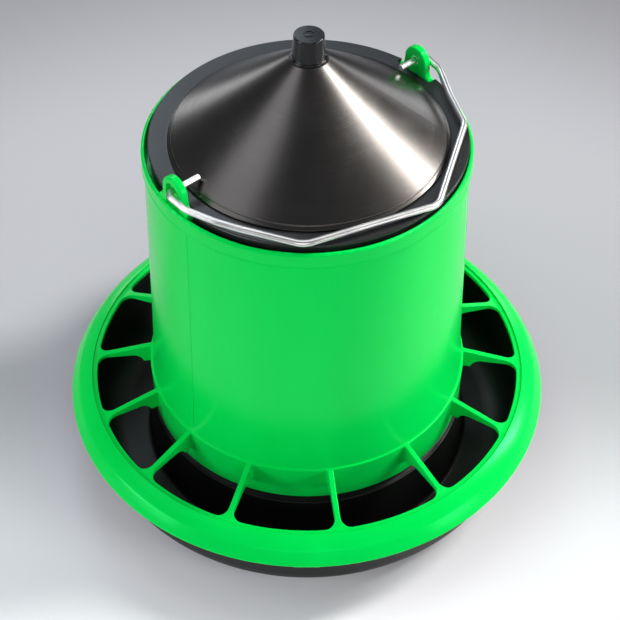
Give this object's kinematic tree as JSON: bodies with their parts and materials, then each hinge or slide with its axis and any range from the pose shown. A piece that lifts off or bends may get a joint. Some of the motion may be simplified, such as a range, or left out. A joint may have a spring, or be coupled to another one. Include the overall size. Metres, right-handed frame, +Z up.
{
  "type": "hanging poultry feeder",
  "caption": "Round hopper feeder for poultry: tapered feed tube on a finned ring over a trough pan, with a conical lid and a wire hanging handle.",
  "frame": {"origin": "centre of the pan's flat underside, on the surface it stands on", "axes": "+Z up along the hopper's axis; -Y towards the viewer of the picture; +X to the viewer's right"},
  "size_m": [0.3994, 0.3995, 0.4054],
  "materials": {
    "green_pp": "gloss",
    "black_pan": "satin",
    "black_lid": "satin",
    "lid_sheet": "brushed",
    "knob_black": "gloss",
    "screw_steel": "satin",
    "wire": "polished"
  },
  "bodies": {
    "base": {"hopper": "green_pp", "feed_pan": "black_pan", "lid_rim": "black_lid", "lid_cone": "lid_sheet", "lid_knob": "knob_black", "knob_screw": "screw_steel"},
    "bail": {"bail_handle": "wire"}
  },
  "joints": [
    {"name": "handle_hinge", "type": "hinge", "parent": "base", "child": "bail", "pos_m": [-0.00358, 0.00418, 0.327], "axis": [-0.7593, -0.6508, 0], "range_deg": [0, 172]}
  ]
}
